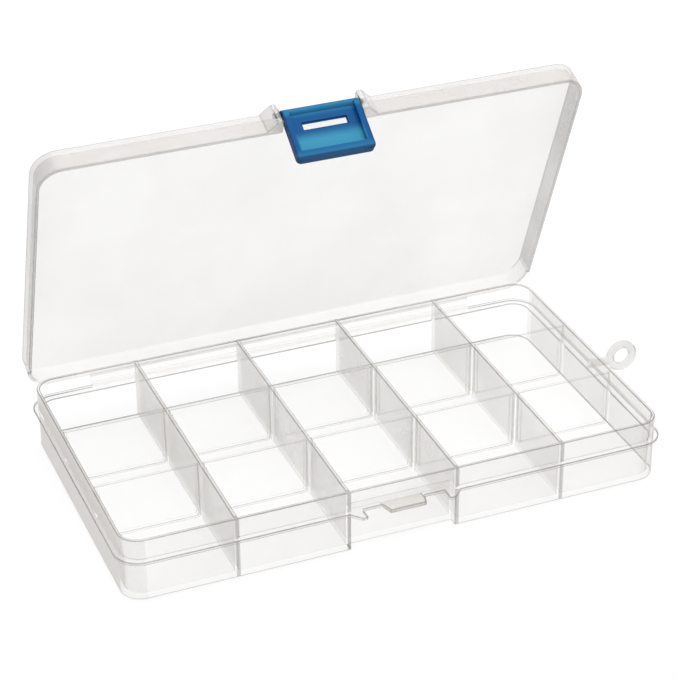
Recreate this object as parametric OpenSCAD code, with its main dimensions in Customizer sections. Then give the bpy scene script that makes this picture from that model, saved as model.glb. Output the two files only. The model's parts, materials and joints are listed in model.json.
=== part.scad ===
// Flat bead box with an open hinged lid, a blue snap latch and fifteen compartments.
// Origin at the centre of the tray's underside, +X to the hang tab, -Y to the latch, +Z up.

/* [Tray] */
// Outside width of the tray walls, left to right
tray_w = 169; // [160:1:200]
// Outside depth of the tray walls, front to back
tray_d = 95; // [90:1:120]
// Height of the tray from underside to rim
tray_h = 20; // [19:0.5:26]
// Outside radius of the tray's upright corners
corner_r = 6.5; // [5:0.5:9]
// Thickness of the lower walls
wall_t = 1.4; // [1.2:0.1:1.8]
// Thickness of the upper lip, above the inner ledge
lip_t = 1.0; // [0.8:0.1:1.1]
// Thickness of the floor
floor_t = 1.2; // [0.8:0.1:2]

/* [Flange] */
// Drop from the tray's rim to the flange's top face
flange_drop = 6.5; // [6:0.5:8]
// Thickness of the flange
flange_t = 1.0; // [0.8:0.1:1.3]
// How far the flange stands out of the walls
flange_out = 1.5; // [1.2:0.1:2]

/* [Compartments] */
// Number of columns, left to right
columns = 5; // [3:1:6]
// Number of rows, front to back
rows = 3; // [2:1:3]
// Thickness of the fixed walls between the columns
fixed_t = 1.2; // [1:0.1:1.6]
// Thickness of the lift-out dividers
divider_t = 1.0; // [0.8:0.1:1.4]
// Drop from the tray's rim to the top of a lift-out divider
divider_drop = 0.3; // [0.2:0.1:1]
// Play between a lift-out divider and what guides it
divider_play = 0.15; // [0.1:0.05:0.25]
// Width of a guide rib
guide_w = 0.9; // [0.7:0.1:1.2]
// How far a guide rib stands out of its wall
guide_out = 0.9; // [0.7:0.1:1.2]
// Drop from the tray's rim to the top of a guide rib
guide_drop = 1.6; // [1:0.1:3]
// Height of the low ribs on the floor
floor_rib_h = 0.5; // [0.3:0.1:0.8]
// Radius of the rounded bottom corners of a lift-out divider
divider_r = 1.5; // [1:0.1:2.5]

/* [Lid] */
// Thickness of the lid's panel
panel_t = 1.2; // [0.9:0.1:1.6]
// Thickness of the lid's skirt
skirt_t = 1.0; // [0.8:0.1:1.3]
// Play between the skirt and the tray's wall
lid_play = 0.2; // [0.15:0.05:0.4]
// Gap between the closed lid and the tray's rim or flange
lid_gap = 0.2; // [0.1:0.1:0.4]
// How much of the skirt is cut back along the hinge
hinge_relief = 1.0; // [1:0.1:1.6]
// How far the lid stands open
lid_open = 68.4; // [40:0.1:100]

/* [Hinge] */
// Distance from the tray's back wall to the hinge line
hinge_out = 3.1; // [2.8:0.1:4]
// Height of the hinge line over the flange's top face
hinge_up = 1.8; // [1.5:0.1:2.2]
// Length of the hinge web
hinge_len = 130; // [90:1:134]
// Thickness of the hinge web
web_t = 0.5; // [0.3:0.1:0.6]
// Radius of the rounded fold of the web
fold_r = 0.45; // [0.35:0.05:0.5]

/* [Latch] */
// Width of the latch plate
latch_w = 24.3; // [20:0.1:27]
// Length of the latch below its pivot
latch_len = 16.5; // [14:0.1:16.6]
// Thickness of the latch plate
latch_t = 1.3; // [1:0.1:1.6]
// Radius of the roll at the latch's pivot
roll_r = 1.3; // [1.2:0.1:1.6]
// Radius of the latch's pivot stubs
stub_r = 0.75; // [0.6:0.05:0.9]
// Length of a pivot stub
stub_len = 1.6; // [1.2:0.1:1.8]
// Angle of the closed latch, leaning in at the bottom
latch_lean = 14.6; // [10:0.1:16]
// Distance from the tray's front wall to the latch pivot
pivot_out = 3.3; // [3:0.1:3.6]
// Drop from the tray's rim to the latch pivot
pivot_drop = 2.1; // [1.8:0.1:2.4]
// Height of the finger lip along the latch's bottom edge
finger_h = 3; // [2:0.1:4]
// How far the lip and the side rims stand out of the plate
finger_out = 1.4; // [1:0.1:2]
// Width of a side rim of the latch
side_rim_w = 2; // [1.5:0.1:3]
// Radius of the latch's two bottom corners
foot_r = 1.5; // [1:0.1:2]
// Play around the latch, at its sides and in its slot
latch_play = 0.3; // [0.25:0.05:0.4]

/* [Catch bay] */
// Width of the catch bar
catch_w = 13.2; // [10:0.1:16]
// Thickness of the catch bar
catch_t = 1.3; // [1:0.1:1.5]
// How far the catch bar stands out of the front wall
catch_out = 3.8; // [3.4:0.1:4.2]
// Depth of the finger bay in the front wall
bay_depth = 2.8; // [2.5:0.1:3.5]
// How far the shelf over the bay stands out of the front wall
shelf_out = 0.3; // [0.2:0.1:0.5]
// How far the ears beside the latch stand out of the front wall
ear_out = 4.7; // [4.5:0.1:5.2]
// Width of an ear along its front edge
ear_w = 1.8; // [1.5:0.1:2.5]
// Width of the ramp from an ear back to the wall
ramp_w = 3; // [2:0.1:4]
// Rounding of an ear's inner corner
ear_r = 0.8; // [0.5:0.1:1]
// How far the catch bar's sides lean in towards its front
catch_taper = 1; // [0.5:0.1:2]

/* [Hang tab] */
// Distance from the side wall to the centre of the hang hole
tab_reach = 12.6; // [10:0.1:15]
// Place of the hang ring behind the middle of the side
tab_y = 1.7; // [-10:0.1:10]
// Thickness of the hang ring, front to back
tab_t = 1.4; // [1:0.1:2]
// Outside radius of the hang ring
tab_r = 5.1; // [4.6:0.1:5.6]
// Radius of the hang hole
hang_r = 2.8; // [2:0.1:3.2]
// Height of the stem between the ring and the wall
stem_h = 2.4; // [1.6:0.1:3]

/* [Hidden] */
$fn = 48;
front_y = -tray_d / 2;
back_y = tray_d / 2;
flange_z = tray_h - flange_drop;
ledge_z = flange_z - flange_t / 2;
column_pitch = (tray_w + fixed_t) / columns;
row_pitch = tray_d / rows;
column_w = column_pitch - fixed_t;
slot_w = divider_t + 2 * divider_play;
divider_top = tray_h - divider_drop;
bay_w = column_w;
bay_y = front_y + bay_depth;
hinge_y = back_y + hinge_out;
hinge_z = flange_z + hinge_up;
lid_w = tray_w + 2 * (lid_play + skirt_t);
lid_d = tray_d + 2 * (lid_play + skirt_t);
lid_r = corner_r + lid_play + skirt_t;
rim_z = flange_z + lid_gap;
panel_z = tray_h + lid_gap;
lid_top = panel_z + panel_t;
notch_w = latch_w + 2 * latch_play;
pivot_y = front_y - pivot_out;
pivot_z = tray_h - pivot_drop;
stub_play = 0.05;
slot_play = 1.6 * latch_play;
past = 1;
catch_z = flange_z - catch_t / 2;
ring_z = flange_z - flange_t / 2;
slot_along = (pivot_z - catch_z) / cos(latch_lean);
slot_h = catch_t / cos(latch_lean) + latch_t * tan(latch_lean) + slot_play;
latch_slot_w = catch_w + 2 * latch_play;
joined = 0.02;
echo(hinge = [0, hinge_y, hinge_z], pivot = opened([0, pivot_y, pivot_z]));
echo(ring = [tray_w / 2 + tab_reach, tab_y, ring_z]);

// A point of the closed lid, carried to the open lid
function opened(p) = let(y = p[1] - hinge_y, z = p[2] - hinge_z)
    [p[0], hinge_y + y * cos(lid_open) + z * sin(lid_open),
    hinge_z - y * sin(lid_open) + z * cos(lid_open)];

// Centre of the fixed wall to the right of a column
function fixed_x(column) = (column - columns / 2) * column_pitch;

// Left and right inside faces of a column, counted from 1
function column_left(column) =
    column == 1 ? -tray_w / 2 + wall_t : fixed_x(column - 1) + fixed_t / 2;
function column_right(column) =
    column == columns ? tray_w / 2 - wall_t : fixed_x(column) - fixed_t / 2;

// Centre of the line between two rows
function row_y(line) = (line - rows / 2) * row_pitch;

// Flat rounded rectangle, centred on the origin
module rounded(w, d, r) {
    square([w - 2 * r, d], center = true);
    square([w, d - 2 * r], center = true);
    for (x = [-1, 1], y = [-1, 1]) translate([x * (w / 2 - r), y * (d / 2 - r)]) circle(r);
}

// Upright rounded block standing on height z
module slab(w, d, r, z, h) translate([0, 0, z]) linear_extrude(h) rounded(w, d, r);

// Box between two opposite corners
module box(low, high) translate(low) cube(high - low);

// The lid's parts are drawn closed and turned open about the hinge line
module lid_pose() {
    translate([0, hinge_y, hinge_z]) rotate([-lid_open, 0, 0]) translate([0, -hinge_y, -hinge_z]) children();
}

// Flared ear beside the latch, seen from above, from its ramp to its inner end
module ear_plan(inner, base, out) {
    tip = front_y - out;
    for (side = [-1, 1]) scale([side, 1]) {
        polygon([[inner, base], [inner, tip + ear_r], [inner + ear_r, tip],
            [inner + ear_w, tip], [inner + ear_w + ramp_w, front_y - flange_out], [inner + ear_w + ramp_w, base]]);
        translate([inner + ear_r, tip + ear_r]) circle(ear_r);
    }
}

// Outer shell of the tray with its flange, ears, bay and hang tab
module tray_shell() {
    mid_ear = notch_w / 2 + latch_play;
    difference() {
        union() {
            slab(tray_w, tray_d, corner_r, 0, tray_h);
            slab(tray_w + 2 * flange_out, tray_d + 2 * flange_out, corner_r + flange_out,
                flange_z - flange_t, flange_t);
            box([-hinge_len / 2, back_y, flange_z - flange_t],
                [hinge_len / 2, hinge_y + web_t, flange_z]);
            hang_tab();
        }
        slab(tray_w - 2 * wall_t, tray_d - 2 * wall_t, corner_r - wall_t, floor_t, tray_h);
        slab(tray_w - 2 * lip_t, tray_d - 2 * lip_t, corner_r - lip_t, ledge_z, tray_h);
        box([-mid_ear, front_y - flange_out - past, 0], [mid_ear, front_y - shelf_out, tray_h]);
        box([-bay_w / 2, front_y - past, -past], [bay_w / 2, bay_y, flange_z - flange_t]);
        translate([tray_w / 2 + tab_reach, tab_y + tab_t, ring_z]) rotate([90, 0, 0])
            cylinder(r = hang_r, h = 2 * tab_t);
    }
    translate([0, 0, flange_z - flange_t]) linear_extrude(flange_t)
        ear_plan(mid_ear, front_y + lip_t / 2, ear_out);
    box([-bay_w / 2 - joined, bay_y, 0], [bay_w / 2 + joined, bay_y + wall_t, flange_z]);
    box([-bay_w / 2 - joined, front_y + joined, flange_z - flange_t],
        [bay_w / 2 + joined, bay_y + joined, flange_z]);
}

// Upright ring on a short stem under the flange, which the box hangs by
module hang_tab() {
    translate([tray_w / 2, tab_y + tab_t / 2, 0]) rotate([90, 0, 0]) linear_extrude(tab_t) {
        translate([tab_reach, ring_z]) circle(tab_r);
        translate([-wall_t / 2, flange_z - stem_h]) square([tab_reach + wall_t / 2, stem_h]);
    }
}

// Catch bar that the latch's slot snaps over
module catch_bar() {
    translate([0, 0, flange_z - catch_t]) linear_extrude(catch_t) polygon([
        [-catch_w / 2, bay_y + wall_t / 2], [-catch_w / 2, front_y - shelf_out],
        [-catch_w / 2 + catch_taper, front_y - catch_out], [catch_w / 2 - catch_taper, front_y - catch_out],
        [catch_w / 2, front_y - shelf_out], [catch_w / 2, bay_y + wall_t / 2]]);
}

// Fixed walls between the columns
module fixed_walls() {
    for (column = [1 : columns - 1])
        box([fixed_x(column) - fixed_t / 2, front_y + lip_t / 2, floor_t - joined],
            [fixed_x(column) + fixed_t / 2, back_y - lip_t / 2, tray_h]);
}

// Two upright ribs that hold the end of a lift-out divider, on a wall whose face is at x
module guide(x, side, line) {
    for (edge = [-1, 1])
        translate([x + side * guide_out / 2, row_y(line) + edge * (slot_w + guide_w) / 2, floor_t - joined])
            translate([-guide_out / 2 - joined, -guide_w / 2, 0])
                cube([guide_out + 2 * joined, guide_w, tray_h - guide_drop - floor_t + joined]);
}

// Guides on every wall, and the low ribs that join them across the floor
module guides() {
    for (line = [1 : rows - 1], column = [1 : columns]) {
        left = column_left(column);
        right = column_right(column);
        guide(left, 1, line);
        guide(right, -1, line);
        for (edge = [-1, 1])
            translate([left - joined, row_y(line) + edge * (slot_w + guide_w) / 2 - guide_w / 2, floor_t - joined])
                cube([right - left + 2 * joined, guide_w, floor_rib_h + joined]);
    }
}

module tray() {
    color([0.93, 0.93, 0.92, 0.5]) union() {
        tray_shell();
        fixed_walls();
        guides();
        catch_bar();
    }
}

// Thin web of the moulded hinge, from the tray's flange up to its rounded fold
module hinge_web() {
    color([0.9, 0.9, 0.89, 0.6]) union() {
        box([-hinge_len / 2, hinge_y - web_t / 2, flange_z], [hinge_len / 2, hinge_y + web_t / 2, hinge_z]);
        translate([-hinge_len / 2, hinge_y, hinge_z]) rotate([0, 90, 0]) cylinder(r = fold_r, h = hinge_len);
    }
}

// Lugs beside the notch, which carry the latch's stubs
module lid_lugs() {
    translate([0, 0, rim_z]) linear_extrude(lid_top - rim_z)
        ear_plan(notch_w / 2, front_y - lid_play - skirt_t / 2, ear_out);
}

module lid() {
    color([0.93, 0.93, 0.92, 0.5]) lid_pose() difference() {
        union() {
            difference() {
                slab(lid_w, lid_d, lid_r, rim_z, lid_top - rim_z);
                slab(lid_w - 2 * skirt_t, lid_d - 2 * skirt_t, lid_r - skirt_t,
                    rim_z - past, panel_z - rim_z + past);
                box([-lid_w, back_y - corner_r, rim_z - past], [lid_w, lid_d, rim_z + hinge_relief]);
            }
            box([-hinge_len / 2, back_y + lid_play + skirt_t / 2, hinge_z - web_t / 2],
                [hinge_len / 2, hinge_y - fold_r - stub_play, hinge_z + web_t / 2]);
            lid_lugs();
        }
        box([-notch_w / 2, front_y - lid_d, rim_z - past], [notch_w / 2, front_y - lid_play, lid_top + past]);
        translate([-notch_w / 2 - stub_len - latch_play, pivot_y, pivot_z]) rotate([0, 90, 0])
            cylinder(r = stub_r + stub_play, h = notch_w + 2 * (stub_len + latch_play));
    }
}

// Front view of the latch, with its two bottom corners rounded
module latch_plan() {
    translate([-latch_w / 2, -latch_len + foot_r]) square([latch_w, latch_len - foot_r]);
    translate([-latch_w / 2 + foot_r, -latch_len]) square([latch_w - 2 * foot_r, foot_r + joined]);
    for (side = [-1, 1]) translate([side * (latch_w / 2 - foot_r), -latch_len + foot_r]) circle(foot_r);
}

// Latch drawn hanging from its pivot, with the face towards the tray at +Y and its thumb
// recess, framed by two side rims and the finger lip, at -Y
module latch_plate() {
    difference() {
        translate([0, latch_t / 2, 0]) rotate([90, 0, 0]) linear_extrude(latch_t + finger_out) latch_plan();
        box([-latch_w / 2 + side_rim_w, -latch_t - finger_out - past, -latch_len + finger_h],
            [latch_w / 2 - side_rim_w, -latch_t / 2, past]);
    }
    translate([-latch_w / 2, 0, 0]) rotate([0, 90, 0]) cylinder(r = roll_r, h = latch_w);
    translate([-latch_w / 2 - stub_len, 0, 0]) rotate([0, 90, 0])
        cylinder(r = stub_r, h = latch_w + 2 * stub_len);
}

module latch() {
    color([0.09, 0.38, 0.68, 0.85]) lid_pose() translate([0, pivot_y, pivot_z]) rotate([latch_lean, 0, 0])
        difference() {
            latch_plate();
            box([-latch_slot_w / 2, -latch_t - past, -slot_along - slot_h / 2],
                [latch_slot_w / 2, latch_t + past, -slot_along + slot_h / 2]);
        }
}

// One lift-out divider; the outer columns' dividers follow the ledge in the end wall
module divider(column, line) {
    left = column_left(column) + divider_play;
    right = column_right(column) - divider_play;
    ledge = ledge_z + divider_play;
    color([0.95, 0.95, 0.94, 0.5]) translate([0, row_y(line) + divider_t / 2, 0])
        rotate([90, 0, 0]) linear_extrude(divider_t) {
            translate([left + divider_r, floor_t]) square([right - left - 2 * divider_r, divider_r + joined]);
            for (x = [left + divider_r, right - divider_r]) translate([x, floor_t + divider_r]) circle(divider_r);
            translate([left, floor_t + divider_r]) square([right - left, divider_top - floor_t - divider_r]);
            if (column == 1)
                translate([left - wall_t + lip_t, ledge]) square([wall_t, divider_top - ledge]);
            if (column == columns)
                translate([right - lip_t, ledge]) square([wall_t, divider_top - ledge]);
        }
}

tray();
hinge_web();
lid();
latch();
divider(1, 1);  // divider_front_1
divider(2, 1);  // divider_front_2
divider(3, 1);  // divider_front_3
divider(4, 1);  // divider_front_4
divider(5, 1);  // divider_front_5
divider(1, 2);  // divider_back_1
divider(2, 2);  // divider_back_2
divider(3, 2);  // divider_back_3
divider(4, 2);  // divider_back_4
divider(5, 2);  // divider_back_5
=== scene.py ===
import json
import math

import bmesh
import bpy
from mathutils import Matrix, Vector


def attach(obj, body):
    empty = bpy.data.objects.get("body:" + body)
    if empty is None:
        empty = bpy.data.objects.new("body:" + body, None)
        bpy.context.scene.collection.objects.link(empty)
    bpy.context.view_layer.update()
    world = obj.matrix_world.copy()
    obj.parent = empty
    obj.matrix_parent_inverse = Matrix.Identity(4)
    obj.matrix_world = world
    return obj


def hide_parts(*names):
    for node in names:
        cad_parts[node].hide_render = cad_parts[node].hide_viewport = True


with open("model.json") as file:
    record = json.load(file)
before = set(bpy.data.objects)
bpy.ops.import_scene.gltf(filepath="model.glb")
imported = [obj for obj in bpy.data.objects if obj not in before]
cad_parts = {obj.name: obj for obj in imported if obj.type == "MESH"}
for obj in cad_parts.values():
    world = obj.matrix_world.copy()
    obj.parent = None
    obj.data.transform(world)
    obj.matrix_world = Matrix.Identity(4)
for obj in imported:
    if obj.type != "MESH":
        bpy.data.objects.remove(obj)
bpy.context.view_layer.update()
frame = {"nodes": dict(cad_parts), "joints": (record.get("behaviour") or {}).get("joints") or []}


# Camera
# The photograph's view, from the front left and thirty degrees above the table.
# A long lens keeps the long sides of the box nearly parallel.
camera_place = Vector((-0.21784, -0.54618, 0.38116))
camera_azimuth = math.radians(-21.699)
camera_elevation = math.radians(30.030)
camera_roll = math.radians(-0.542)
camera_data = bpy.data.cameras.new("camera")
camera_data.lens = 119.83
camera_data.sensor_width = 36
camera_data.clip_start = 0.01
camera = bpy.data.objects.new("camera", camera_data)
camera.matrix_world = (
    Matrix.Translation(camera_place)
    @ Matrix.Rotation(camera_azimuth, 4, "Z")
    @ Matrix.Rotation(math.pi / 2 - camera_elevation, 4, "X")
    @ Matrix.Rotation(camera_roll, 4, "Z")
)
bpy.context.scene.collection.objects.link(camera)
bpy.context.scene.camera = camera


# Table and studio
# A white sweep with a soft light all round and two large softboxes, one overhead and one to
# the right. What the camera sees of it is plain white, and the table keeps a faint shadow.
def add_node(tree, kind, settings, inputs):
    """Adds one node, with its settings, and its inputs set to a number or linked to an output."""
    node = tree.nodes.new(kind)
    for name, value in settings.items():
        setattr(node, name, value)
    for key, value in inputs.items():
        if isinstance(value, bpy.types.NodeSocket):
            tree.links.new(value, node.inputs[key])
        else:
            node.inputs[key].default_value = value
    return node


def linear(hex_colour):
    """The linear colour of an sRGB hex value."""
    channels = [int(hex_colour[i:i + 2], 16) / 255 for i in (1, 3, 5)]
    return [c / 12.92 if c <= 0.04045 else ((c + 0.055) / 1.055) ** 2.4 for c in channels] + [1.0]


def seen_directly(tree):
    """One where a ray comes from the camera, a reflection or a refraction, else nought."""
    path = add_node(tree, "ShaderNodeLightPath", {}, {})
    mirrored = add_node(tree, "ShaderNodeMath", {"operation": "MAXIMUM"},
                        {0: path.outputs["Is Camera Ray"], 1: path.outputs["Is Glossy Ray"]})
    return add_node(tree, "ShaderNodeMath", {"operation": "MAXIMUM"},
                    {0: mirrored.outputs[0], 1: path.outputs["Is Transmission Ray"]}).outputs[0]


fill_strength = 0.6
world = bpy.data.worlds.new("studio")
world.use_nodes = True
bpy.context.scene.world = world
world_tree = world.node_tree
world_tree.nodes.clear()
fill_light = add_node(world_tree, "ShaderNodeBackground", {},
                      {"Color": linear("#FFFFFF"), "Strength": fill_strength})
white_sweep = add_node(world_tree, "ShaderNodeBackground", {},
                       {"Color": linear("#FFFFFF"), "Strength": 1.0})
world_mix = add_node(world_tree, "ShaderNodeMixShader", {},
                     {0: seen_directly(world_tree), 1: fill_light.outputs[0],
                      2: white_sweep.outputs[0]})
add_node(world_tree, "ShaderNodeOutputWorld", {}, {"Surface": world_mix.outputs[0]})

table_size = 6.0
table_drop = 0.0002  # keeps the table's face clear of the tray's underside
table_mesh = bpy.data.meshes.new("table")
table_bm = bmesh.new()
bmesh.ops.create_grid(table_bm, x_segments=1, y_segments=1, size=table_size / 2)
table_bm.to_mesh(table_mesh)
table_bm.free()
table = bpy.data.objects.new("table", table_mesh)
table.location.z = -table_drop
bpy.context.scene.collection.objects.link(table)

# Matt white paper: pure white to the camera, apart from a share of the shadow that falls on it.
shadow_share = 0.25
paper = bpy.data.materials.new("white paper sweep")
paper.use_nodes = True
paper_tree = paper.node_tree
paper_tree.nodes.clear()
paper_face = add_node(paper_tree, "ShaderNodeBsdfDiffuse", {}, {"Color": linear("#F6F6F6")})
paper_white = add_node(paper_tree, "ShaderNodeEmission", {},
                       {"Color": linear("#FFFFFF"), "Strength": 1.0})
paper_share = add_node(paper_tree, "ShaderNodeMath", {"operation": "MULTIPLY"},
                       {0: seen_directly(paper_tree), 1: 1 - shadow_share})
paper_mix = add_node(paper_tree, "ShaderNodeMixShader", {},
                     {0: paper_share.outputs[0], 1: paper_face.outputs[0],
                      2: paper_white.outputs[0]})
add_node(paper_tree, "ShaderNodeOutputMaterial", {}, {"Surface": paper_mix.outputs[0]})
table_mesh.materials.append(paper)

box_middle = Vector((0, 0, 0.04))


def softbox(name, place, width, power):
    """A square lamp that faces the box."""
    lamp_data = bpy.data.lights.new(name, "AREA")
    lamp_data.size = width
    lamp_data.energy = power
    lamp = bpy.data.objects.new(name, lamp_data)
    lamp.location = place
    lamp.rotation_euler = (box_middle - Vector(place)).to_track_quat("-Z", "Y").to_euler()
    bpy.context.scene.collection.objects.link(lamp)


softbox("softbox_overhead", (0.1, 0.1, 1.2), width=0.9, power=9.0)
softbox("softbox_right", (0.8, 0.2, 1.1), width=0.8, power=5.0)
bpy.context.scene.view_settings.view_transform = "Standard"
# A line of sight may pass through dozens of clear faces, one behind another.
bpy.context.scene.cycles.transparent_max_bounces = 96


# Tray
# One moulding in clear polypropylene: outer walls with a thinner lip, floor, four fixed long
# walls, flange, guide ribs, catch bar and hang ring. Its edges are rounded by the mould.
# Sizes are in millimetres, as in the part's source, and MM turns them to metres.
MM = 0.001
tray_w = 169
tray_d = 95
wall_t = 1.4
fixed_t = 1.2
column_pitch = (tray_w + fixed_t) / 5
row_pitch = tray_d / 3
wall_middle_y = (tray_d - wall_t) / 2
clear_colour = "#DAD7D3"
edge_colour = "#7A7570"


def rounded_copy(node, name, finishes, edge=0.0, zone=None, kept_sharp=None):
    """A copy of a CAD node's mesh, with its outward edges rounded over to edge mm.
    finishes holds the materials by name, and rounded edges take the one named edges. zone
    names a face's finish from its centre in mm and its normal, and without it each face takes
    the first. kept_sharp tells from an edge's middle in mm that it isn't rounded."""
    order = list(finishes)
    # Closes the steps of 0.02 mm that are left where the solids join, which no rounding fits.
    weld = 0.04 * MM
    sharp = math.radians(28)
    mesh = frame["nodes"][node].data.copy()
    mesh.name = name
    mesh.materials.clear()
    bm = bmesh.new()
    bm.from_mesh(mesh)
    bmesh.ops.remove_doubles(bm, verts=bm.verts, dist=weld)
    bmesh.ops.dissolve_degenerate(bm, dist=weld / 40, edges=bm.edges)
    bmesh.ops.dissolve_limit(bm, angle_limit=math.radians(1), verts=bm.verts, edges=bm.edges)
    bm.normal_update()
    weight = bm.edges.layers.float.new("bevel_weight_edge")
    for side in bm.edges:
        middle = (side.verts[0].co + side.verts[1].co) / 2 / MM
        outward = side.is_manifold and side.is_convex and side.calc_face_angle() > sharp
        if outward and not (kept_sharp and kept_sharp(middle)):
            side[weight] = 1.0
    for face in bm.faces:
        face.smooth = True
        if zone:
            face.material_index = order.index(zone(face.calc_center_median() / MM, face.normal))
        else:
            face.material_index = 0
    bm.to_mesh(mesh)
    bm.free()
    if "custom_normal" in mesh.attributes:
        mesh.attributes.remove(mesh.attributes["custom_normal"])
    mesh.set_sharp_from_angle(angle=sharp)
    piece = bpy.data.objects.new(name, mesh)
    bpy.context.scene.collection.objects.link(piece)
    if edge:
        bevel = piece.modifiers.new("mould radius", "BEVEL")
        bevel.width = edge * MM
        bevel.segments = 2
        bevel.limit_method = "WEIGHT"
        bevel.use_clamp_overlap = False
        bevel.material = order.index("edges")
    normals = piece.modifiers.new("even shading", "WEIGHTED_NORMAL")
    normals.keep_sharp = True
    for finish in finishes.values():
        mesh.materials.append(finish)
    return piece


def clear_polypropylene(name, colour, haze, grazing, cloud, wall_ends=False):
    """Moulded clear polypropylene: milky, see-through and glossy, with clouds cloud mm wide.
    haze is its density seen face on, and grazing is what it gains seen edge on, where sight
    passes through more plastic. With wall_ends, the lines where a fixed wall meets the front
    or back wall read darker."""
    material = bpy.data.materials.new(name)
    material.use_nodes = True
    tree = material.node_tree
    tree.nodes.clear()
    place = add_node(tree, "ShaderNodeTexCoord", {}, {}).outputs["Object"]
    clouds = add_node(tree, "ShaderNodeTexNoise", {},
                      {"Vector": place, "Scale": 1 / (cloud * MM), "Detail": 3.0})
    # The flow grain of a real moulding is finer, and is drawn as coarse as it needs to show.
    grain_width = 0.6
    grain = add_node(tree, "ShaderNodeTexNoise", {},
                     {"Vector": place, "Scale": 1 / (grain_width * MM), "Detail": 2.0})
    facing = add_node(tree, "ShaderNodeLayerWeight", {}, {"Blend": 0.5}).outputs["Facing"]
    steep = add_node(tree, "ShaderNodeMath", {"operation": "POWER"}, {0: facing, 1: 5.0})
    even = add_node(tree, "ShaderNodeMath", {"operation": "MULTIPLY_ADD"},
                    {0: steep.outputs[0], 1: grazing, 2: haze})
    cloudy = add_node(tree, "ShaderNodeMapRange", {},
                      {"Value": clouds.outputs["Fac"], "From Min": 0.35, "From Max": 0.65,
                       "To Min": 0.85, "To Max": 1.15})
    density = add_node(tree, "ShaderNodeMath", {"operation": "MULTIPLY", "use_clamp": True},
                       {0: even.outputs[0], 1: cloudy.outputs[0]}).outputs[0]
    tone = linear(colour)
    if wall_ends:
        axes = add_node(tree, "ShaderNodeSeparateXYZ", {}, {0: place})
        from_wall = add_node(tree, "ShaderNodeMath", {"operation": "ADD"},
                             {0: axes.outputs[0], 1: column_pitch / 2 * MM})
        beside = add_node(tree, "ShaderNodeMath", {"operation": "PINGPONG"},
                          {0: from_wall.outputs[0], 1: column_pitch / 2 * MM})
        on_wall = add_node(tree, "ShaderNodeMapRange", {},
                           {"Value": beside.outputs[0], "From Min": 0.45 * MM,
                            "From Max": 0.8 * MM, "To Min": 1.0, "To Max": 0.0})
        depth = add_node(tree, "ShaderNodeMath", {"operation": "ABSOLUTE"}, {0: axes.outputs[1]})
        in_wall = add_node(tree, "ShaderNodeMath", {"operation": "COMPARE"},
                           {0: depth.outputs[0], 1: wall_middle_y * MM, 2: 0.9 * MM})
        end_line = add_node(tree, "ShaderNodeMath", {"operation": "MULTIPLY"},
                            {0: on_wall.outputs[0], 1: in_wall.outputs[0]})
        density = add_node(tree, "ShaderNodeMath",
                           {"operation": "MULTIPLY_ADD", "use_clamp": True},
                           {0: end_line.outputs[0], 1: 0.35, 2: density}).outputs[0]
        tone = add_node(tree, "ShaderNodeMix", {"data_type": "RGBA"},
                        {0: end_line.outputs[0], 6: linear(colour),
                         7: linear(edge_colour)}).outputs[2]
    # Milky plastic passes most of the light on, so it throws only a faint shadow.
    lamp_ray = add_node(tree, "ShaderNodeLightPath", {}, {}).outputs["Is Shadow Ray"]
    met_share = add_node(tree, "ShaderNodeMapRange", {},
                         {"Value": lamp_ray, "From Min": 0.0, "From Max": 1.0,
                          "To Min": 1.0, "To Max": 0.3})
    alpha = add_node(tree, "ShaderNodeMath", {"operation": "MULTIPLY", "use_clamp": True},
                     {0: density, 1: met_share.outputs[0]})
    gloss = add_node(tree, "ShaderNodeMapRange", {},
                     {"Value": grain.outputs["Fac"], "To Min": 0.16, "To Max": 0.30})
    bump = add_node(tree, "ShaderNodeBump", {},
                    {"Height": grain.outputs["Fac"], "Strength": 0.05, "Distance": 0.1 * MM})
    surface = add_node(tree, "ShaderNodeBsdfPrincipled", {},
                       {"Base Color": tone, "IOR": 1.49, "Roughness": gloss.outputs[0],
                        "Alpha": alpha.outputs[0], "Normal": bump.outputs[0]})
    add_node(tree, "ShaderNodeOutputMaterial", {}, {"Surface": surface.outputs[0]})
    return material


# One plastic throughout. Its haze differs from place to place to follow the photograph.
tray_finishes = {
    # Outer walls: clear face on, with a soft grey where they turn away.
    "walls": clear_polypropylene("clear polypropylene, tray walls", clear_colour,
                                 haze=0.13, grazing=2.2, cloud=30, wall_ends=True),
    # Rounded edges: the warm grey lines that draw the box.
    "edges": clear_polypropylene("clear polypropylene, moulded edges", edge_colour,
                                 haze=0.62, grazing=1.0, cloud=30),
    # Floor: nearly as bright as the table below it.
    "floor": clear_polypropylene("clear polypropylene, tray floor", clear_colour,
                                 haze=0.035, grazing=0.5, cloud=30),
    # Fixed walls: a light grey, matched to the photograph.
    "long walls": clear_polypropylene("clear polypropylene, long walls", clear_colour,
                                      haze=0.155, grazing=1.6, cloud=24),
    # Catch bar: denser and a little greener, matched to the photograph.
    "catch bar": clear_polypropylene("clear polypropylene, catch bar", "#BDB9AC",
                                     haze=0.45, grazing=1.0, cloud=12),
    # Guide ribs, back wall and hinge flange: all but gone against the walls behind them.
    "guide ribs": clear_polypropylene("clear polypropylene, guide ribs", clear_colour,
                                      haze=0.025, grazing=0.6, cloud=12),
    # Hang ring: a pale grey ring against the white.
    "hang ring": clear_polypropylene("clear polypropylene, hang ring", "#B2AEA9",
                                     haze=0.20, grazing=2.5, cloud=8),
    # Front corner zones and left wall: a shade denser, matched to the photograph.
    #     # On the left wall the darker tone is painted shade, as that wall faces away from the
    #     lamps.
    "corners": clear_polypropylene("clear polypropylene, tray corners", "#D2CECA",
                                   haze=0.18, grazing=2.6, cloud=20),
}

# A zone's limits are set a little wide of the form that it picks out, and ring_start lies
# on the hang ring's stem, beyond the flange.
half_w = tray_w / 2
half_d = tray_d / 2
corner_reach = 7.0
guide_half_pair = 1.7
guide_top = 18.6
ring_start = half_w + 3.0
hinge_half_len = 67


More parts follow.
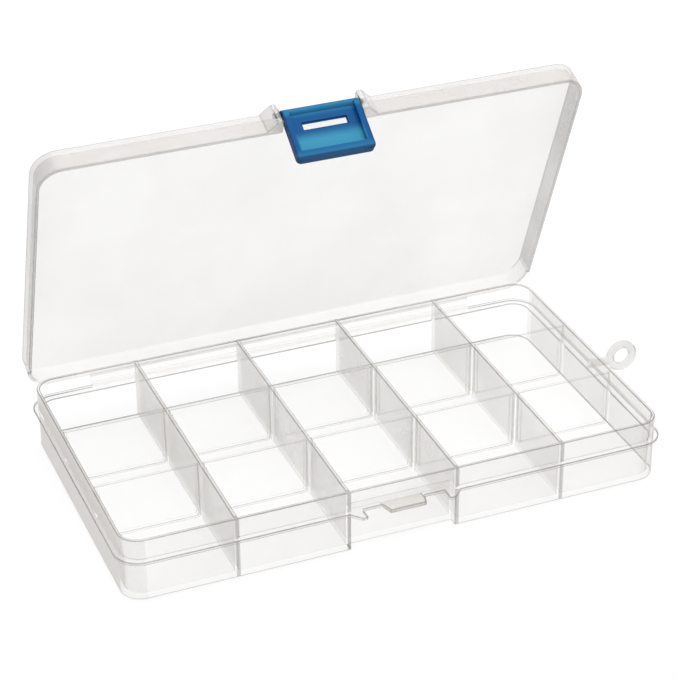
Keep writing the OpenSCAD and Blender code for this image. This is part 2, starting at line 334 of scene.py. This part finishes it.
def by_guides(place):
    """True at the ribs that hold a divider's ends."""
    at_divider = abs(abs(place.y) - row_pitch / 2) < guide_half_pair
    return at_divider and abs(place.x) < half_w - 1.2


def tray_sharp(middle):
    """True for the edges of the guide ribs, the hinge flange and the hang ring."""
    at_guides = by_guides(middle) and middle.z < guide_top
    at_hinge = middle.y > half_d + 0.1 and middle.z < 19 and abs(middle.x) < hinge_half_len
    return at_guides or at_hinge or middle.x > ring_start


def tray_zone(centre, normal):
    """Which of the tray's finishes a face takes."""
    beside_wall = abs(centre.x / column_pitch % 1 - 0.5) * column_pitch
    at_end = abs(centre.x) > half_w - corner_reach
    faces_aside = abs(normal.x) > 0.9
    if abs(normal.z) > 0.9 and centre.z < 1.8:
        return "floor"
    if centre.x > ring_start:
        return "hang ring"
    back_wall = centre.y > half_d - 1.6 and abs(centre.x) < half_w - 8.5
    back_corner = centre.y > half_d - corner_reach and at_end
    if back_wall or back_corner:
        return "guide ribs"
    front_corner = centre.y < -(half_d - corner_reach) and at_end
    # A face of the outer left wall takes the darker finish: painted shade, as it faces away from
    # the lamps.
    left_wall_in_painted_shade = normal.x < -0.9 and centre.x < -(half_w - 4.5)
    if front_corner or left_wall_in_painted_shade:
        return "corners"
    if centre.y < -(half_d + 0.2) and centre.z > 11 and abs(centre.x) < 8:
        return "catch bar"
    if beside_wall < 1.9 and faces_aside and abs(centre.y) < half_d - 1.3 and centre.z > 1.3:
        return "long walls"
    if by_guides(centre):
        return "guide ribs"
    return "walls"


tray_piece = rounded_copy("tray", "tray_moulding", tray_finishes, edge=0.3,
                          zone=tray_zone, kept_sharp=tray_sharp)
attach(tray_piece, "tray")
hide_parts("tray")


# Lift-out dividers
# Ten thin plates moulded in the same clear polypropylene, held between the guide ribs.
# They are the clearest pieces of the box, with a soft line along each rounded edge.
divider_finishes = {
    "plate": clear_polypropylene("clear polypropylene, dividers", clear_colour,
                                 haze=0.02, grazing=1.0, cloud=18),
    "edges": clear_polypropylene("clear polypropylene, divider edges", edge_colour,
                                 haze=0.36, grazing=0.8, cloud=18),
}
for line in ("front", "back"):
    for column in range(1, 6):
        node_name = f"divider_{line}_{column}"
        divider = rounded_copy(node_name, node_name + "_plate", divider_finishes, edge=0.2)
        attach(divider, node_name)
        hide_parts(node_name)


# Lid
# One shallow moulding in the same plastic: a flat panel with a skirt round it, and two lugs
# beside the notch that hold the latch. It turns on the moulded hinge at the tray's back.
joints = {joint["name"]: joint for joint in frame["joints"]}
hinge_place = Vector(joints["lid_hinge"]["pos_m"]) / MM
lid_angle = -math.radians(joints["lid_hinge"]["range_deg"][0])
to_closed = Matrix.Rotation(lid_angle, 3, "X")
lid_finishes = {
    # Panel: a faint veil over the white behind it.
    "panel": clear_polypropylene("clear polypropylene, lid panel", clear_colour,
                                 haze=0.15, grazing=2.0, cloud=40),
    # Rounded edges: softer grey lines than the tray's.
    "edges": clear_polypropylene("clear polypropylene, lid edges", edge_colour,
                                 haze=0.42, grazing=0.6, cloud=30),
    # Skirt: the grey band round the panel.
    "skirt": clear_polypropylene("clear polypropylene, lid skirt", "#BCB8B4",
                                 haze=0.40, grazing=0.4, cloud=20),
    # Hinge side: paler again, matched to the photograph.
    "hinge side": clear_polypropylene("clear polypropylene, by the hinge", "#CFCBC7",
                                      haze=0.20, grazing=0.8, cloud=20),
}
panel_low = 19
hinge_side_y = 41
hinge_edges_y = 46


def on_closed_lid(place):
    """Where a point of the open lid, in mm, lies when the lid is closed."""
    return to_closed @ (place - hinge_place) + hinge_place


def lid_zone(centre, normal):
    """Which of the lid's finishes a face takes."""
    place = on_closed_lid(centre)
    if abs((to_closed @ normal).z) > 0.9 and place.z > panel_low:
        return "panel"
    return "hinge side" if place.y > hinge_side_y else "skirt"


def lid_sharp(middle):
    """True for the edges of the hinge strip."""
    return on_closed_lid(middle).y > hinge_edges_y


lid_piece = rounded_copy("lid", "lid_moulding", lid_finishes, edge=0.35,
                         zone=lid_zone, kept_sharp=lid_sharp)
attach(lid_piece, "lid")
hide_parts("lid")


# Hinge web
# A thin strip moulded in one with tray and lid. The real one folds when the lid turns, and
# this one stays with the tray. Thin as it is, it all but vanishes.
web_finishes = {
    "strip": clear_polypropylene("clear polypropylene, hinge web", clear_colour,
                                 haze=0.04, grazing=0.6, cloud=10),
}
web_piece = rounded_copy("hinge_web", "hinge_web_strip", web_finishes)
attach(web_piece, "tray")
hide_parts("hinge_web")


# Latch
# A plate moulded in blue translucent polypropylene, which turns on two stubs in the lid's
# lugs. It is thick round its rims and slot, and thin and paler behind its thumb recess.
pivot = Vector(joints["latch_pivot"]["pos_m"])
latch_lean = math.radians(14.6)
latch_tilt = lid_angle - latch_lean
latch_down = Vector((0, -math.sin(latch_tilt), -math.cos(latch_tilt)))
latch_out = Vector((0, latch_down.z, -latch_down.y))
deep_blue = "#02508A"
pale_blue = "#3A92B2"
edge_blue = "#022C55"
satin_grain = 0.5
streak_width = 6

# Satin moulded polypropylene: a deep even blue with a paler panel and a dark outline. Both
# are set by place on the plate, matched to the photograph.
latch_finish = bpy.data.materials.new("blue polypropylene, latch")
latch_finish.use_nodes = True
latch_tree = latch_finish.node_tree
latch_tree.nodes.clear()
latch_place = add_node(latch_tree, "ShaderNodeTexCoord", {}, {}).outputs["Object"]
from_pivot = add_node(latch_tree, "ShaderNodeVectorMath", {"operation": "SUBTRACT"},
                      {0: latch_place, 1: pivot})
along = add_node(latch_tree, "ShaderNodeVectorMath", {"operation": "DOT_PRODUCT"},
                 {0: from_pivot.outputs[0], 1: latch_down}).outputs["Value"]
across = add_node(latch_tree, "ShaderNodeSeparateXYZ", {}, {0: latch_place}).outputs[0]
aside = add_node(latch_tree, "ShaderNodeMath", {"operation": "ABSOLUTE"}, {0: across}).outputs[0]

# Each band of the plate fades in from the first place to the second, in mm.
bands = {}
for band, measure, start, end in (
    ("below slot", along, 6.6, 10.5),
    ("above lip", along, 14.2, 12.9),
    ("inside rims", aside, 10.9, 9.6),
    ("roll", along, 2.6, 0.8),
    ("lip", along, 12.5, 15.5),
    ("side rims", aside, 11.5, 12.0),
    ("top rim", along, -0.5, -1.1),
    ("foot rim", along, 15.2, 15.7),
):
    bands[band] = add_node(latch_tree, "ShaderNodeMapRange",
                           {"interpolation_type": "SMOOTHSTEP"},
                           {"Value": measure, "From Min": start * MM,
                            "From Max": end * MM}).outputs[0]

recess_height = add_node(latch_tree, "ShaderNodeMath", {"operation": "MULTIPLY"},
                         {0: bands["below slot"], 1: bands["above lip"]})
recess = add_node(latch_tree, "ShaderNodeMath", {"operation": "MULTIPLY"},
                  {0: recess_height.outputs[0], 1: bands["inside rims"]})
roll = add_node(latch_tree, "ShaderNodeMath", {"operation": "MULTIPLY"},
                {0: bands["roll"], 1: 0.45})
lip = add_node(latch_tree, "ShaderNodeMath", {"operation": "MULTIPLY"},
               {0: bands["lip"], 1: 0.35})
ends = add_node(latch_tree, "ShaderNodeMath", {"operation": "MAXIMUM"},
                {0: roll.outputs[0], 1: lip.outputs[0]})
thin = add_node(latch_tree, "ShaderNodeMath", {"operation": "MAXIMUM"},
                {0: recess.outputs[0], 1: ends.outputs[0]})
streaks = add_node(latch_tree, "ShaderNodeTexNoise", {},
                   {"Vector": latch_place, "Scale": 1 / (streak_width * MM), "Detail": 3.0})
streaky = add_node(latch_tree, "ShaderNodeMapRange", {},
                   {"Value": streaks.outputs["Fac"], "From Min": 0.3, "From Max": 0.7,
                    "To Min": 0.82, "To Max": 1.0})
pale_share = add_node(latch_tree, "ShaderNodeMath", {"operation": "MULTIPLY"},
                      {0: thin.outputs[0], 1: streaky.outputs[0]})
body_blue = add_node(latch_tree, "ShaderNodeMix", {"data_type": "RGBA"},
                     {0: pale_share.outputs[0], 6: linear(deep_blue), 7: linear(pale_blue)})
side_and_top = add_node(latch_tree, "ShaderNodeMath", {"operation": "MAXIMUM"},
                        {0: bands["side rims"], 1: bands["top rim"]})
outline = add_node(latch_tree, "ShaderNodeMath", {"operation": "MAXIMUM"},
                   {0: side_and_top.outputs[0], 1: bands["foot rim"]})
dark_share = add_node(latch_tree, "ShaderNodeMath", {"operation": "MULTIPLY"},
                      {0: outline.outputs[0], 1: 0.75})
blue = add_node(latch_tree, "ShaderNodeMix", {"data_type": "RGBA"},
                {0: dark_share.outputs[0], 6: body_blue.outputs[2], 7: linear(edge_blue)})
grain = add_node(latch_tree, "ShaderNodeTexNoise", {},
                 {"Vector": latch_place, "Scale": 1 / (satin_grain * MM), "Detail": 2.0})
satin = add_node(latch_tree, "ShaderNodeMapRange", {},
                 {"Value": grain.outputs["Fac"], "To Min": 0.32, "To Max": 0.45})
satin_bump = add_node(latch_tree, "ShaderNodeBump", {},
                      {"Height": grain.outputs["Fac"], "Strength": 0.08, "Distance": 0.1 * MM})
latch_surface = add_node(latch_tree, "ShaderNodeBsdfPrincipled", {},
                         {"Base Color": blue.outputs[2], "IOR": 1.49,
                          "Roughness": satin.outputs[0], "Specular IOR Level": 0.08,
                          "Alpha": 0.994, "Normal": satin_bump.outputs[0]})
add_node(latch_tree, "ShaderNodeOutputMaterial", {}, {"Surface": latch_surface.outputs[0]})

# The rounded edges of the same plastic: dark blue lines round the plate and its slot.
edge_finish = bpy.data.materials.new("blue polypropylene, latch edges")
edge_finish.use_nodes = True
edge_tree = edge_finish.node_tree
edge_tree.nodes.clear()
edge_place = add_node(edge_tree, "ShaderNodeTexCoord", {}, {}).outputs["Object"]
edge_grain = add_node(edge_tree, "ShaderNodeTexNoise", {},
                      {"Vector": edge_place, "Scale": 1 / (satin_grain * MM)})
edge_satin = add_node(edge_tree, "ShaderNodeMapRange", {},
                      {"Value": edge_grain.outputs["Fac"], "To Min": 0.3, "To Max": 0.4})
edge_surface = add_node(edge_tree, "ShaderNodeBsdfPrincipled", {},
                        {"Base Color": linear(edge_blue), "IOR": 1.49,
                         "Roughness": edge_satin.outputs[0], "Specular IOR Level": 0.08})
add_node(edge_tree, "ShaderNodeOutputMaterial", {}, {"Surface": edge_surface.outputs[0]})


def latch_sharp(middle):
    """True for edges that catch the light: in the recess, and in front at the left and foot."""
    from_stubs = middle - pivot / MM
    down = from_stubs.dot(latch_down)
    out = from_stubs.dot(latch_out)
    at_slot = abs(middle.x) < 7.3 and 3.7 < down < 6.7
    in_recess = abs(middle.x) < 11.3 and 1.6 < down < 14.2 and not at_slot
    left_or_foot = middle.x < -10.5 or middle.x < 10.5 and down > 14
    return in_recess or out > 1.0 and left_or_foot


latch_piece = rounded_copy("latch", "latch_plate", {"plate": latch_finish, "edges": edge_finish},
                           edge=0.25, kept_sharp=latch_sharp)
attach(latch_piece, "latch")
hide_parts("latch")
